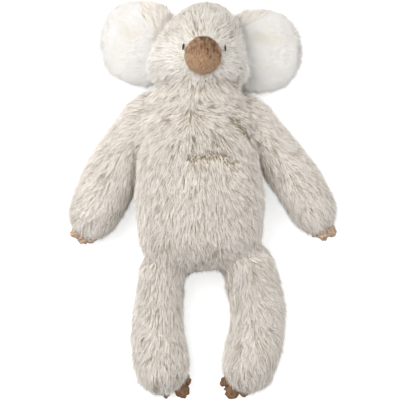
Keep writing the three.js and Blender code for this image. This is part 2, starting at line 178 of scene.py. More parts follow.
def cast_form(names, start, end, inset, reach=(0, 0), rings=54, sides=60, smooth=2):
    """Rings of points round a line, cast onto the outside of some nodes and drawn in by inset.

    All sizes are in mm. Reach moves the two ends out along the line."""
    tree = nodes_tree(names)
    start, end = Vector(start) * MM, Vector(end) * MM
    ahead = (end - start).normalized()
    side = ahead.cross(Vector((0, 0, 1))).normalized()
    up = side.cross(ahead)
    cap = rings // 3
    grid = np.zeros((rings + 1, sides, 3))
    for ring in range(rings + 1):
        if ring < cap:
            tilt, place = math.pi / 2 * (1 - ring / cap), 0.0
        elif ring > rings - cap:
            tilt, place = -math.pi / 2 * (1 - (rings - ring) / cap), 1.0
        else:
            tilt, place = 0.0, (ring - cap) / (rings - 2 * cap)
        centre = start.lerp(end, place)
        stretch = ahead * (reach[1] * max(0, -math.sin(tilt)) - reach[0] * max(0, math.sin(tilt))) * MM
        for step in range(sides):
            angle = 2 * math.pi * (step + 0.5) / sides
            spoke = side * math.cos(angle) + up * math.sin(angle)
            out = spoke * math.cos(tilt) - ahead * math.sin(tilt)
            above_seam = up * (OFF_SEAM if abs(out.dot(up)) < 0.02 else 0)
            hit = tree.ray_cast(centre + out + above_seam, -out)[0]
            grid[ring, step] = (hit - out * inset * MM if hit else centre) + stretch
    for _ in range(smooth):
        around = (np.roll(grid, 1, 1) + np.roll(grid, -1, 1)) / 2
        grid[1:-1] = 0.5 * grid[1:-1] + 0.25 * around[1:-1] + 0.125 * (grid[:-2] + grid[2:])
    grid[0] = grid[0].mean(0)
    grid[-1] = grid[-1].mean(0)
    return grid


def grid_faces(rings, sides):
    faces = []
    last = 1 + (rings - 1) * sides
    for step in range(sides):
        following = (step + 1) % sides
        faces.append((0, 1 + step, 1 + following))
        for ring in range(rings - 2):
            a = 1 + ring * sides
            faces.append((a + step, a + sides + step, a + sides + following, a + following))
        a = 1 + (rings - 2) * sides
        faces.append((a + step, last, a + following))
    return faces


def closed_mesh(grid):
    """Points and faces of a grid of rings whose first and last rings are single points."""
    points = np.concatenate([grid[0, :1], grid[1:-1].reshape(-1, 3), grid[-1, :1]])
    return points, grid_faces(len(grid) - 1, grid.shape[1])


def add_mesh(name, points, faces):
    mesh = bpy.data.meshes.new(name)
    mesh.from_pydata(points.tolist(), [], [tuple(face) for face in faces])
    mesh.shade_smooth()
    thing = bpy.data.objects.new(name, mesh)
    bpy.context.scene.collection.objects.link(thing)
    return thing


def mesh_arrays(data):
    points = np.zeros(len(data.vertices) * 3)
    data.vertices.foreach_get("co", points)
    normals = np.zeros(len(data.vertices) * 3)
    data.vertices.foreach_get("normal", normals)
    data.calc_loop_triangles()
    triangles = np.zeros(len(data.loop_triangles) * 3, np.int32)
    data.loop_triangles.foreach_get("vertices", triangles)
    return points.reshape(-1, 3), normals.reshape(-1, 3), triangles.reshape(-1, 3)


# Cloth simulation of a skin: the size of its cells, and how far it may move a point (mm)
CLOTH_CELLS = 4.5
CLOTH_ROOM = 2.5
CLOTH_FRAMES = 20
CLOTH_PRESSURE = 4.0


def swell(mesh):
    """A closed skin, filled out by cloth simulation."""
    thing = bpy.data.objects.new("cloth", mesh)
    bpy.context.scene.collection.objects.link(thing)
    remesh = thing.modifiers.new("cells", "REMESH")
    remesh.mode = "VOXEL"
    remesh.voxel_size = CLOTH_CELLS * MM
    start = bpy.data.meshes.new_from_object(thing.evaluated_get(bpy.context.evaluated_depsgraph_get()))
    thing.modifiers.clear()
    thing.data = start
    before = mesh_arrays(start)[0]
    cloth = thing.modifiers.new("cloth", "CLOTH")
    settings = cloth.settings
    settings.quality = 5
    settings.use_pressure = True
    settings.uniform_pressure_force = CLOTH_PRESSURE
    settings.effector_weights.gravity = 0
    cloth.point_cache.frame_start = 1
    cloth.point_cache.frame_end = CLOTH_FRAMES
    for tick in range(1, CLOTH_FRAMES + 1):
        bpy.context.scene.frame_set(tick)
    after = mesh_arrays(thing.evaluated_get(bpy.context.evaluated_depsgraph_get()).data)[0]
    bpy.context.scene.frame_set(1)
    thing.modifiers.clear()
    move = after - before
    reach = np.linalg.norm(move, axis=1, keepdims=True)
    kept = np.minimum(1, CLOTH_ROOM * MM / np.maximum(reach, 1e-9))
    start.vertices.foreach_set("co", (before + move * kept).ravel())
    start.update()
    fine = thing.modifiers.new("fine", "SUBSURF")
    fine.levels = 1
    result = bpy.data.meshes.new_from_object(thing.evaluated_get(bpy.context.evaluated_depsgraph_get()))
    bpy.data.objects.remove(thing)
    return result


# A skin over several forms. They are cast larger by GROWN so that the grooves between them close up,
# and the skin then comes in again. SKIN_OUT is how far it lies outside the solids' faces (mm).
GROWN = 7.0
SKIN_OUT = 0.5
SKIN_CELLS = 3.0
SKIN_SMOOTHING = 16
MOST_TAKEN_OFF = 9.0
LOWEST_FABRIC = 2.5


class Surface:
    """One sewn outer surface over several forms, which knows the form that each of its parts covers."""

    def __init__(self, forms):
        self.names = list(forms)
        points, faces, trees = [], [], []
        for form_points, form_faces in forms.values():
            first = sum(len(p) for p in points)
            points.append(form_points)
            faces += [tuple(first + i for i in face) for face in form_faces]
            trees.append(BVHTree.FromPolygons([Vector(p) for p in form_points], form_faces))
        thing = add_mesh("sewn", np.concatenate(points), faces)
        remesh = thing.modifiers.new("one", "REMESH")
        remesh.mode = "VOXEL"
        remesh.voxel_size = SKIN_CELLS * MM
        soften = thing.modifiers.new("soft", "SMOOTH")
        soften.factor = 0.5
        soften.iterations = SKIN_SMOOTHING
        shape = thing.evaluated_get(bpy.context.evaluated_depsgraph_get())
        mesh = bpy.data.meshes.new_from_object(shape)
        # what the smoothing took off the forms is given back, and then the whole comes in again
        points, normals, _ = mesh_arrays(mesh)
        depth = np.array([max(self.depth_in(tree, *ray) for tree in trees) for ray in zip(points, normals)])
        points += normals * (depth[:, None] - (GROWN - SKIN_OUT + CLOTH_ROOM) * MM)
        mesh.vertices.foreach_set("co", points.ravel())
        mesh.update()
        mesh = swell(mesh)
        points = mesh_arrays(mesh)[0]
        points[:, 2] = np.maximum(points[:, 2], LOWEST_FABRIC * MM)
        mesh.vertices.foreach_set("co", points.ravel())
        mesh.update()
        self.points, self.normals, self.triangles = mesh_arrays(mesh)
        self.faces = [tuple(face.vertices) for face in mesh.polygons]
        bpy.data.objects.remove(thing)
        near = np.array([[tree.find_nearest(point)[3] for tree in trees] for point in self.points])
        self.owner = near.argmin(1)

    @staticmethod
    def depth_in(tree, point, outward):
        """How far under the skin of a closed form a point lies, or 0 outside it."""
        _, normal, _, distance = tree.ray_cast(point, outward, MOST_TAKEN_OFF * MM)
        return distance if normal is not None and normal.dot(Vector(outward)) > 0 else 0.0

    def owned(self, faces, name):
        """Which of the faces belong to the named form: those with most corners nearest to it."""
        own = self.owner == self.names.index(name)
        return np.array([sum(own[i] for i in face) * 2 > len(face) for face in faces])

    def patch(self, name):
        """The named form's own part of the fabric, as an object."""
        faces = [face for face, own in zip(self.faces, self.owned(self.faces, name)) if own]
        used = sorted({index for face in faces for index in face})
        place = {index: new for new, index in enumerate(used)}
        return add_mesh(f"{name}_fabric", self.points[used], [[place[i] for i in face] for face in faces])


class Patch:
    """The triangles of a surface that fur grows on."""

    def __init__(self, points, normals, triangles):
        self.points, self.normals, self.triangles = points, normals, triangles
        a, b, c = (points[triangles[:, k]] for k in range(3))
        self.areas = np.linalg.norm(np.cross(b - a, c - a), axis=1) / 2

    def samples(self, density, rng):
        count = int(self.areas.sum() / MM**2 * density)
        chosen = self.triangles[rng.choice(len(self.triangles), count, p=self.areas / self.areas.sum())]
        u, v = rng.random(count), rng.random(count)
        flip = u + v > 1
        u[flip], v[flip] = 1 - u[flip], 1 - v[flip]
        shares = np.stack([1 - u - v, u, v], 1)[:, :, None]
        return (self.points[chosen] * shares).sum(1), unit((self.normals[chosen] * shares).sum(1))


def wander(points, size, seed, waves=7):
    """Smooth noise in three values for each point, about one unit high, that changes over size."""
    rng = np.random.default_rng(seed)
    total = np.zeros((len(points), 3))
    for _ in range(waves):
        direction = unit(rng.normal(size=(1, 3)))[0] * rng.uniform(0.6, 1.6) * 2 * math.pi / size
        phase = rng.uniform(0, 2 * math.pi, 3)
        total += np.sin((points @ direction)[:, None] + phase)
    return total / math.sqrt(waves)


# Partings, where the pile opens and is painted darker as shade: a line on the plan, a half width and a depth
CREASES = [
    (((-8, 27), (4, 29), (14, 31), (23, 29), (31, 24)), 4.4, 1.25),
    (((26, 66), (36, 59), (45, 52)), 2.8, 0.95),
    (((52, 46), (60, 36), (62, 22), (63, 10)), 2.4, 0.2),
    (((-36, 60), (-28, 67)), 2.0, 0.4),
    (((-20, 75), (-12, 66), (-4, 70), (4, 72)), 3.0, 0.2),
    (((18, -62), (10, -68), (-5, -73)), 3.0, 0.3),
    (((-58, 48), (-64, 25), (-68, 6), (-69, -14)), 3.0, 0.2),
]
# Pile higher than this is on the front, where the partings are (mm)
FRONT_FROM = 25


def crease_depth(points, spread=1.0):
    """From 0 away from every parting to about 1 in the deepest, over spread times its own width."""
    depth = np.zeros(len(points))
    plan_points = points[:, :2] / MM
    for line, half_width, strength in CREASES:
        for start, end in zip(line[:-1], line[1:]):
            start, end = np.array(start, float), np.array(end, float)
            step = end - start
            share = np.clip((plan_points - start) @ step / (step @ step), 0, 1)
            distance = np.linalg.norm(plan_points - start - share[:, None] * step, axis=1)
            depth = np.maximum(depth, strength * np.exp(-((distance / (half_width * spread)) ** 2)))
    return np.where(points[:, 2] > FRONT_FROM * MM, depth, 0)


# How the body's pile lies on the plan: places, and the way that the pile points there
BODY_FLOW = np.array([
    # x, y, towards x, towards y
    (-48, 85, -1.0, -0.3), (-65, 68, -1.0, -0.45), (-27, 77, -0.9, -0.1), (-22, 62, -0.6, -0.6),
    (-13, 86, -0.2, -0.5), (0, 77, 0.8, 0.1), (-10, 62, 0.0, -0.9), (16, 80, 0.9, 0.1),
    (40, 72, 1.0, -0.3), (55, 58, 0.9, -0.6), (28, 66, 0.9, -0.45), (0, 50, 0.1, -1.0),
    (-32, 50, -0.7, -0.8), (-50, 25, -0.4, -0.9), (32, 42, 0.55, -0.85), (50, 20, 0.8, -0.7),
    (-15, 30, -0.2, -1.0), (8, 18, 0.0, -1.0), (-50, -15, -0.25, -1.0), (0, -15, 0.0, -1.0),
    (50, -15, 0.8, -0.7), (-45, -50, -0.3, -1.0), (-5, -55, 0.0, -1.0), (15, -60, 0.2, -1.0),
    (45, -55, 0.6, -0.8), (62, -60, 0.8, -0.7),
    (-55, -100, -0.35, -1.0), (-20, -100, 0.2, -1.0), (-60, -150, -0.6, -0.9), (-20, -150, 0.15, -1.0),
    (-40, -195, -0.05, -1.0), (30, -100, -0.1, -1.0), (75, -105, 0.8, -0.6), (40, -150, -0.1, -1.0),
    (80, -145, 0.8, -0.7), (45, -195, 0.0, -1.0),
    (-80, 45, -0.8, -0.7), (-72, 15, -0.2, -1.0), (-105, 10, -0.9, -0.6), (-90, -15, -0.3, -1.0),
    (-118, -20, -0.95, -0.5), (-112, -45, -0.3, -1.0),
    (70, 50, 0.9, -0.6), (72, 15, 0.3, -1.0), (100, 20, 0.75, -0.75), (95, -15, 0.4, -1.0),
    (125, -15, 0.6, -0.85), (120, -45, 0.35, -1.0),
])
FLOW_REACH = 14.0


def flow_limbs(points):
    """The way that the pile points, from the places round about."""
    away = ((points[:, None, :2] / MM - BODY_FLOW[None, :, :2]) ** 2).sum(2)
    weight = 1 / (away + FLOW_REACH**2) ** 2
    way = (weight[:, :, None] * BODY_FLOW[None, :, 2:]).sum(1)
    return unit(np.concatenate([way, np.zeros((len(points), 1))], 1))


# A strand: rings of a few points at shares of its length, flatter than round, and a pointed tip
STRAND_RINGS = (0.0, 0.5)
RING_WIDTHS = (0.9, 1.0)
STRAND_SIDES = 3
STRAND_WIDTH = 1.25
STRAND_THICKNESS = 0.8
# It rises from the cloth and then bends over, but never lower than this above the floor (mm)
RISE = 1.28
BEND_OVER = 0.5
LOWEST_PILE = 0.5
STRANDS_PER_PIECE = 20000
# The share of the strands that grow on the underside, on which the toy rests
UNDERSIDE_SHARE = 0.5


class Locks:
    """The lock that each strand belongs to: that of the nearest of a thinner set of the roots."""

    def __init__(self, roots, density, clump, rng):
        count = max(1, int(len(roots) / (density * clump**2)))
        self.leaders = roots[rng.permutation(len(roots))[:count]]
        self.own = nearest(roots, self.leaders)
        self.rim = np.linalg.norm(roots - self.leaders[self.own], axis=1) / (0.6 * clump * MM)
        self.random = rng.random((count, 4))

    def drawn_to(self, points):
        """For each strand the middle of the points of its lock."""
        count = len(self.leaders)
        members = np.bincount(self.own, minlength=count)[:, None]
        sums = np.stack([np.bincount(self.own, points[:, k], count) for k in range(3)], 1)
        return (sums / np.maximum(members, 1))[self.own]


def fur(name, patch, seed, density, length, flow, material, lift=(20, 10), radius=0.3, clump=2.6, pull=0.5,
        keep=None, stray=0.16, shade_range=(0.8, 0.12, 0.08), olive=0.07, edge=0.0, tone=None, turn=0.3,
        tousle=0.1, soft=0.75, lit=0.3):
    """Pile on a patch: pointed strands combed along flow and drawn together into locks.

    density: strands on each square millimetre. length, radius, clump: of a strand, and a lock's size (mm).
    lift: the strands' angle to the cloth and how far it differs between locks (degrees).
    pull: how far a lock's tips come together. stray: the share of strands that leave their lock.
    turn, tousle: how far the locks and the strands depart from the flow.
    shade_range: how light the pile is, and how far locks and strands differ. tone: adds to it by place.
    olive: the share of strands painted dark as shade in the gaps between locks. edge: how much darker a
    lock's rim is painted, as shade.
    soft: how far a strand is shaded as the cloth below it. lit: how far that shading leans upwards."""
    rng = np.random.default_rng(seed)
    roots, normals = patch.samples(density, rng)
    chosen = (normals[:, 2] > -0.5) | (rng.random(len(roots)) < UNDERSIDE_SHARE)
    if keep is not None:
        chosen &= keep(roots, normals)
    roots, normals = roots[chosen], normals[chosen]
    count = len(roots)
    locks = Locks(roots, density, clump, rng)
    by_lock = locks.random[locks.own]

    # the way that each strand lies on the cloth
    direction = flow(roots) + 2.2 * tousle * wander(roots, 26 * MM, seed + 1)
    direction = direction + turn * 2 * (by_lock[:, :3] - 0.5) + tousle * rng.normal(size=(count, 3))
    direction -= np.sum(direction * normals, 1)[:, None] * normals
    direction = unit(direction)

    # its angle and its length. In a parting the strands are shorter, and some locks stand up and are painted
    # dark as the parting's shade.
    free = rng.random(count) < stray
    angle = lift[0] + lift[1] * (2 * by_lock[:, 3] - 1) + 40 * tousle * rng.normal(size=count) + 12 * free
    angle = np.radians(angle)
    size = (length(roots) if callable(length) else np.full(count, length)) * MM
    broken = np.clip(0.65 + 0.9 * wander(roots, 4 * MM, seed + 3)[:, 0], 0, 1)
    size = size * rng.uniform(0.75, 1.15, count) * (0.92 + 0.2 * by_lock[:, 3])
    size *= 1 - 0.6 * crease_depth(roots, 2.0)
    shaded_locks = rng.random(len(locks.leaders))[locks.own] < 0.8 * crease_depth(roots) * broken
    dark = shaded_locks & (rng.random(count) < 0.7)
    angle += np.radians(25) * dark
    size *= np.where(dark, 1.1, 1)

    # its middle line
    rise = np.sin(angle)[:, None] * normals
    run = np.cos(angle)[:, None] * direction
    tips = roots + size[:, None] * (rise * (RISE - BEND_OVER) + run)
    hold = np.where(free, 0.1, pull)[:, None] * rng.uniform(0.7, 1.1, (count, 1))
    gathered = (locks.drawn_to(tips) - tips) * hold
    bend = 0.03 * size[:, None] * rng.normal(size=(count, 3))
    spine = []
    for share in (*STRAND_RINGS, 1.0):
        point = roots + size[:, None] * (rise * (RISE * share - BEND_OVER * share**2) + run * share)
        point += bend * share * (1 - share) * 4 + gathered * share**1.4
        point[:, 2] = np.maximum(point[:, 2], LOWEST_PILE * MM)
        spine.append(point)

    # its rings, and the way that each of its points is shaded as facing
    thick = radius * MM * rng.uniform(0.7, 1.25, count) * np.where(free, 0.7, 1) * np.where(dark, 1.2, 1)
    soft = soft * np.clip((normals[:, 2:] + 0.3) / 0.5, 0, 1)
    points, facing = strand_rings(spine, normals, thick, unit(normals + np.array([0, 0, lit])), soft)

    # how light it is, with painted shade at the rims of locks and in the gaps between them
    middle, lock_part, own_part = shade_range
    shade = middle + lock_part * (by_lock[:, 0] - 0.5) + own_part * rng.normal(size=count)
    # painted shade: a lock's rim is darker
    shade += 0.06 * wander(roots, 18 * MM, seed + 2)[:, 0] - edge * np.clip(locks.rim, 0, 1.2) ** 4
    if tone is not None:
        shade += tone(roots)
    # painted shade: some strands, most of them at lock rims, are dark as the gaps between locks
    gap_shade_at_rim = (locks.rim > 0.75) & (by_lock[:, 1] < 0.3)
    gap_shaded = rng.random(count) < np.where(gap_shade_at_rim, 5 * olive, 0.6 * olive)
    shade = np.where(gap_shaded, rng.uniform(0.02, 0.35, count), shade)
    # the strands that stand up in a parting are painted dark, as its shade
    shade = np.where(dark, 0.01 + 0.2 * rng.random(count), shade)
    # painted shade: strands are darkened where they pass over a parting
    parting_shade = np.stack([crease_depth(point) for point in spine], 1)
    parting_shade *= (rng.random(count) < 0.5 * broken)[:, None]
    tones = np.clip(shade[:, None] - 0.6 * parting_shade, 0.01, 0.99)
    tones = np.concatenate([np.repeat(tones[:, :-1], STRAND_SIDES, 1), tones[:, -1:]], 1)

    parts = max(1, math.ceil(count / STRANDS_PER_PIECE))
    return [strand_mesh(f"{name}_{part + 1}", points[part::parts], facing[part::parts], tones[part::parts],
                        material) for part in range(parts)]


def strand_rings(spine, normals, thick, shaded_as, soft):
    """The points of strands round their middle lines, and their normals.

    Soft is how far the normals are those that the cloth is shaded with, in place of the strand's own."""
    course = spine[-1] - spine[0]
    side = unit(np.cross(course, normals))
    above = unit(np.cross(side, course))
    points, facing = [], []
    for point, width in zip(spine, RING_WIDTHS):
        for step in range(STRAND_SIDES):
            around = 2 * math.pi * step / STRAND_SIDES + math.pi / 2
            offset = side * math.cos(around) * STRAND_WIDTH + above * math.sin(around) * STRAND_THICKNESS
            points.append(point + offset * (thick * width)[:, None])
            facing.append(unit(shaded_as * soft + offset * (1 - soft)))
    points.append(spine[-1])
    facing.append(unit(shaded_as * soft + unit(course) * (1 - soft)))
    return np.stack(points, 1), np.stack(facing, 1)


def nearest(points, centres):
    """The index of the nearest centre to each point."""
    tree = KDTree(len(centres))
    for index, centre in enumerate(centres):
        tree.insert(centre, index)
    tree.balance()
    return np.array([tree.find(point)[1] for point in points])


def strand_mesh(name, points, facing, tones, material):
    """One mesh of pointed strands, from their ring points, normals and tones."""
    count, size, _ = points.shape
    sides = STRAND_SIDES
    tip = size - 1
    quads, ends = [], []
    for s in range(sides):
        following = (s + 1) % sides
        for r in range(0, tip - sides, sides):
            quads.append((r + s, r + sides + s, r + sides + following, r + following))
        ends.append((tip - sides + s, tip, tip - sides + following))
    along = np.array([*np.repeat(STRAND_RINGS, sides), 1.0])
    first = (np.arange(count) * size)[:, None]
    corners = np.concatenate([(np.array(quads).ravel() + first), (np.array(ends).ravel() + first)], 1).ravel()
    lengths = np.tile([4] * len(quads) + [3] * len(ends), count)
    starts = np.concatenate([[0], np.cumsum(lengths)[:-1]])
    mesh = bpy.data.meshes.new(name)
    mesh.vertices.add(count * size)
    mesh.vertices.foreach_set("co", points.ravel())
    mesh.loops.add(len(corners))
    mesh.loops.foreach_set("vertex_index", corners.astype(np.int32))
    mesh.polygons.add(len(lengths))
    mesh.polygons.foreach_set("loop_start", starts.astype(np.int32))
    mesh.update(calc_edges=True)
    mesh.shade_smooth()
    for label, values in (("along", np.tile(along, count)), ("tone", tones.ravel())):
        attribute = mesh.attributes.new(label, "FLOAT", "POINT")
        attribute.data.foreach_set("value", values.astype(np.float32))
    spread = np.stack([tones.ravel()[corners], np.tile(along, count)[corners]], 1)
    mesh.normals_split_custom_set_from_vertices(facing.reshape(-1, 3))
    uv_map = mesh.uv_layers.new(name="OFBake")
    uv_map.data.foreach_set("uv", (0.02 + 0.96 * spread).astype(np.float32).ravel())
    mesh.materials.append(material)
    thing = bpy.data.objects.new(name, mesh)
    bpy.context.scene.collection.objects.link(thing)
    return thing


# Stage and light
def make_stage():
    mesh = bpy.data.meshes.new("floor")
    half = 3.0
    corners = [(-half, -half, 0), (half, -half, 0), (half, half, 0), (-half, half, 0)]
    mesh.from_pydata(corners, [], [(0, 1, 2, 3)])
    floor = bpy.data.objects.new("floor", mesh)
    bpy.context.scene.collection.objects.link(floor)
    material, nodes, links, shader = new_material("floor_white")
    shader.inputs["Base Color"].default_value = (0.5, 0.5, 0.5, 1)
    shader.inputs["Roughness"].default_value = 1.0
    shader.inputs["Specular IOR Level"].default_value = 0.0
    light_path = nodes.new("ShaderNodeLightPath")
    strength = nodes.new("ShaderNodeMath")
    strength.operation = "MULTIPLY"
    strength.inputs[1].default_value = 0.66
    links.new(light_path.outputs["Is Camera Ray"], strength.inputs[0])
    shader.inputs["Emission Color"].default_value = (1, 1, 1, 1)
    links.new(strength.outputs[0], shader.inputs["Emission Strength"])
    mesh.materials.append(material)


def add_lamp(name, place, target, size, power, colour=(1, 1, 1)):
    data = bpy.data.lights.new(name, "AREA")
    data.shape = "DISK"
    data.size = size
    data.energy = power
    data.color = colour
    lamp = bpy.data.objects.new(name, data)
    lamp.location = place
    lamp.rotation_euler = (Vector(target) - Vector(place)).to_track_quat("-Z", "Y").to_euler()
    bpy.context.scene.collection.objects.link(lamp)


def make_light():
    world = bpy.data.worlds.new("world")
    bpy.context.scene.world = world
    world.use_nodes = True
    nodes, links = world.node_tree.nodes, world.node_tree.links
    background = nodes["Background"]
    background.inputs["Color"].default_value = (1, 1, 1, 1)
    light_path = nodes.new("ShaderNodeLightPath")
    seen = nodes.new("ShaderNodeMath")
    seen.operation = "MAXIMUM"
    either = nodes.new("ShaderNodeMath")
    either.operation = "MAXIMUM"
    strength = nodes.new("ShaderNodeMapRange")
    strength.inputs["To Min"].default_value = 0.8
    strength.inputs["To Max"].default_value = 1.0
    links.new(light_path.outputs["Is Camera Ray"], seen.inputs[0])
    links.new(light_path.outputs["Is Glossy Ray"], seen.inputs[1])
    links.new(seen.outputs[0], either.inputs[0])
    links.new(light_path.outputs["Is Transmission Ray"], either.inputs[1])
    links.new(either.outputs[0], strength.inputs["Value"])
    links.new(strength.outputs["Result"], background.inputs["Strength"])
    add_lamp("key", (-0.95, 0.58, 1.46), (0, 0, 0), 1.8, 35, (1.0, 0.99, 0.98))
    add_lamp("fill", (1.5, 0.5, 1.6), (0, 0, 0), 2.0, 17, (1.0, 0.99, 0.98))


make_camera()
make_stage()
make_light()

# Materials of this toy. Each pile's colours run root, middle, tip and crease: its darker roots are painted
# shade deep in the pile, and its crease colour is painted shade in partings and between locks, except on the
# ears, where it is the cream of their patches.
plush = fur_material(
    "plush", srgb(204, 195, 180), srgb(236, 229, 221), srgb(242, 237, 231), srgb(124, 104, 60))
backing = backing_material("plush_backing", srgb(200, 190, 172), srgb(222, 212, 196))
face_pile = fur_material(
    "face_pile", srgb(210, 204, 193), srgb(236, 232, 226), srgb(240, 237, 233), srgb(146, 130, 102))
ear_pile = fur_material(
    "ear_pile", srgb(233, 232, 230), srgb(235, 234, 232), srgb(236, 235, 233), srgb(236, 224, 200),
    middle_tone=srgb(246, 242, 234))
ear_backing = backing_material("ear_backing", srgb(222, 220, 216), srgb(230, 228, 225))
nose_pile = fur_material(
    "nose_pile", srgb(116, 84, 58), srgb(174, 139, 108), srgb(205, 171, 139), srgb(124, 96, 74),
    roughness=0.6)
nose_backing = backing_material("nose_backing", srgb(124, 90, 62), srgb(158, 122, 90), 1.6 * MM)
suede = backing_material("suede", srgb(88, 66, 50), srgb(136, 106, 82), 1.6 * MM)
suede_light = backing_material("suede_light", srgb(128, 106, 88), srgb(190, 166, 145), 2.2 * MM)
thread = backing_material("thread", srgb(66, 52, 36), srgb(110, 92, 68), 0.6 * MM)
wadding = backing_material("wadding", srgb(226, 224, 220), srgb(246, 245, 242), 6 * MM)
pellet_cloth = backing_material("pellet_cloth", srgb(196, 190, 180), srgb(226, 221, 212), 1.5 * MM)


def plan(points):
    return points[:, 0] / MM, points[:, 1] / MM


def directions(x, y, z=0.0):
    x, y, z = np.broadcast_arrays(x, y, z)
    return unit(np.stack([x, y, z], 1).astype(float))


def dress(piece, material, slot, *replaced):
    piece.data.materials.append(material)
    if replaced:
        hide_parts(*replaced)


# The body that each piece is attached to; a piece between two bodies lists both and where one takes over from
# the other (mm), and is baked in place, attached to neither
FOLLOW = {
    "torso": ("torso",),
    "shoulder_right": ("torso",),
    "shoulder_left": ("torso",),
    "neck": ("torso", "head", (0, 84, 24), (0, 98, 24)),
    "head": ("head",),
    "arm_right": ("torso", "arm_right", (-38, 60, 21), (-62, 60, 21)),
    "arm_left": ("torso", "arm_left", (34, 60, 21), (56, 60, 21)),
    "leg_right": ("torso", "leg_right", (-37, -74, 21.5), (-37, -106, 21.5)),
    "leg_left": ("torso", "leg_left", (50, -74, 21.5), (50, -106, 21.5)),
}


def follow(piece, name):
    if len(FOLLOW[name]) == 1:
        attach(piece, FOLLOW[name][0])
    else:
        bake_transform(piece)


# The stuffed forms: nodes, the line they are cast from, how far in, and how far the ends reach on (mm)
FORMS = {
    "torso": (["torso_front_panel", "torso_back_panel", "hip_right_gather", "hip_left_gather"],
              (-3, -46, 36), (-3, 52, 36), -1.0, (0, 4)),
    "neck": (["neck_gather"], (-3, 82, 29), (-3, 92, 29), 0, (4, 4)),
    "head": (["head_face_panel", "head_back_panel"], (-2, 120, 36), (3, 152, 34), 0, (2, 3)),
    "arm_right": (["arm_right_front_panel", "arm_right_back_panel", "shoulder_right_gather"],
                  (-50, 66, 19), (-110, -34, 18.5), -3.2, (8, -1)),
    "arm_left": (["arm_left_front_panel", "arm_left_back_panel", "shoulder_left_gather"],
                 (46, 66, 19), (119, -30, 18.5), -2.0, (8, -1)),
    "leg_right": (["leg_right_front_panel", "leg_right_back_panel"],
                  (-37, -84, 22), (-38, -188, 22), 0, (10, 1)),
    "leg_left": (["leg_left_front_panel", "leg_left_back_panel"],
                 (50, -84, 22), (47, -184, 22), -1.5, (10, 1)),
}
# The middle of each shoulder joint, and the size of the ball round it that is sewn to the chest (mm)
SHOULDERS = {"right": (-66.6, 60, 21), "left": (60.6, 60, 21)}
SHOULDER_REACH = 26
# The nodes that a fabric replaces, where they aren't those that its form is cast from
STANDS_FOR = {name: FORMS[name][0][:2] for name in ("arm_right", "arm_left")}
STANDS_FOR.update((f"shoulder_{side}", [f"shoulder_{side}_gather"]) for side in SIDES)


def smooth_step(values, low, high):
    share = np.clip((values - low) / (high - low), 0, 1)
    return share * share * (3 - 2 * share)


def build_forms():
    forms = {}
    for name, (nodes, start, end, inset, reach) in FORMS.items():
        grid = cast_form(nodes, start, end, inset - GROWN, reach)
        if name.startswith("leg"):
            # the thigh is fuller where it is sewn to the body
            y = grid[..., 1] / MM
            grid[..., 2] *= 1 + 0.2 * np.clip((y + 125) / 45, 0, 1) ** 2
        if name == "neck":
            grid[..., 2] *= 1.1
        if name == "torso":
            # the filling has sunk towards the toy's left flank
            x, y = grid[..., 0] / MM, grid[..., 1] / MM
            grid[..., 0] += 5 * MM * smooth_step(x, 15, 55) * np.exp(-(((y + 15) / 42) ** 2))
        forms[name] = closed_mesh(grid)
    for side, centre in SHOULDERS.items():
        # the top of each arm, within reach of its joint, is drawn in to a ball that the chest is sewn to
        points, faces = forms[f"arm_{side}"]
        away = points - np.array(centre) * MM
        near = np.minimum(1, (SHOULDER_REACH + GROWN) * MM / np.linalg.norm(away, axis=1, keepdims=True))
        forms[f"shoulder_{side}"] = points - away * (1 - near), faces
    return forms


forms = build_forms()
# the balls of the shoulders belong to the body's skin, and each arm is a closed skin that turns over its ball
SKINS = (("torso", "neck", "head", "leg_right", "leg_left", "shoulder_right", "shoulder_left"),
         ("arm_right",), ("arm_left",))
skins = {}
for names in SKINS:
    skin = Surface({name: forms[name] for name in names})
    skins.update((name, skin) for name in names)

NOSE = np.array([3, 129]) * MM


def flow_head(points):
    x, y = plan(points)
    dx, dy = x - 3, y - 129
    return directions(dx, dy, np.where(points[:, 2] < 40 * MM, -0.6 * np.hypot(dx, dy), 0.0))


def flow_body(points):
    """The body's pile and the head's radial one run into each other under the chin."""
    share = smooth_step(points[:, 1:2] / MM, 78, 104)
    return unit(flow_limbs(points) * (1 - share) + flow_head(points) * share)


def face_length(points):
    """Short round the nose and on the crown, and longest on the cheeks, over the roots of the ears."""
    distance = np.linalg.norm(points[:, :2] - NOSE, axis=1) / MM
    cheek = smooth_step(np.abs(points[:, 0] - NOSE[0]) / MM, 26, 40)
    crown = smooth_step(points[:, 1] / MM, 138, 158)
    return 5.5 + 7.5 * np.clip((distance - 16) / 20, 0, 1) * (1 - 0.4 * crown) + 3 * cheek


def clear_of_face(roots, normals):
    """No pile grows under the nose or through the stitches."""
    x, y = plan(roots)
    front = roots[:, 2] > 45 * MM
    bare = front & (np.linalg.norm(roots[:, :2] - NOSE, axis=1) < 14 * MM)
    for stitch in ("eye_stitching_right", "eye_stitching_left", "mouth_stitching"):
        low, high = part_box(stitch)
        middle_x, middle_y = (low[0] + high[0]) / 2 / MM, (low[1] + high[1]) / 2 / MM
        bare |= front & (np.hypot((x - middle_x) * 1.3, (y - middle_y) * 0.7) < 2.2)
    return ~bare


def lower_face(roots, normals):
    """The part of the head whose pile has the body's colour, with a ragged edge."""
    return roots[:, 1] + 6 * MM * wander(roots, 7 * MM, 5)[:, 0] < 113 * MM


def pale_face(roots, normals):
    return clear_of_face(roots, normals) & ~lower_face(roots, normals)


def warm_face(roots, normals):
    return clear_of_face(roots, normals) & lower_face(roots, normals)


def body_shade(points):
    """Painted shade: the chest and the inner legs are a little darker."""
    x, y = plan(points)
    chest = np.exp(-(((x - 6) / 34) ** 2) - ((y - 55) / 34) ** 2)
    between = np.exp(-(((x - 6) / 26) ** 2) - ((y + 110) / 50) ** 2)
    return -0.2 * chest - 0.15 * between


def face_tone(points):
    """The crown is a little deeper in colour than the cheeks."""
    return -0.28 * smooth_step(points[:, 1] / MM, 136, 152)


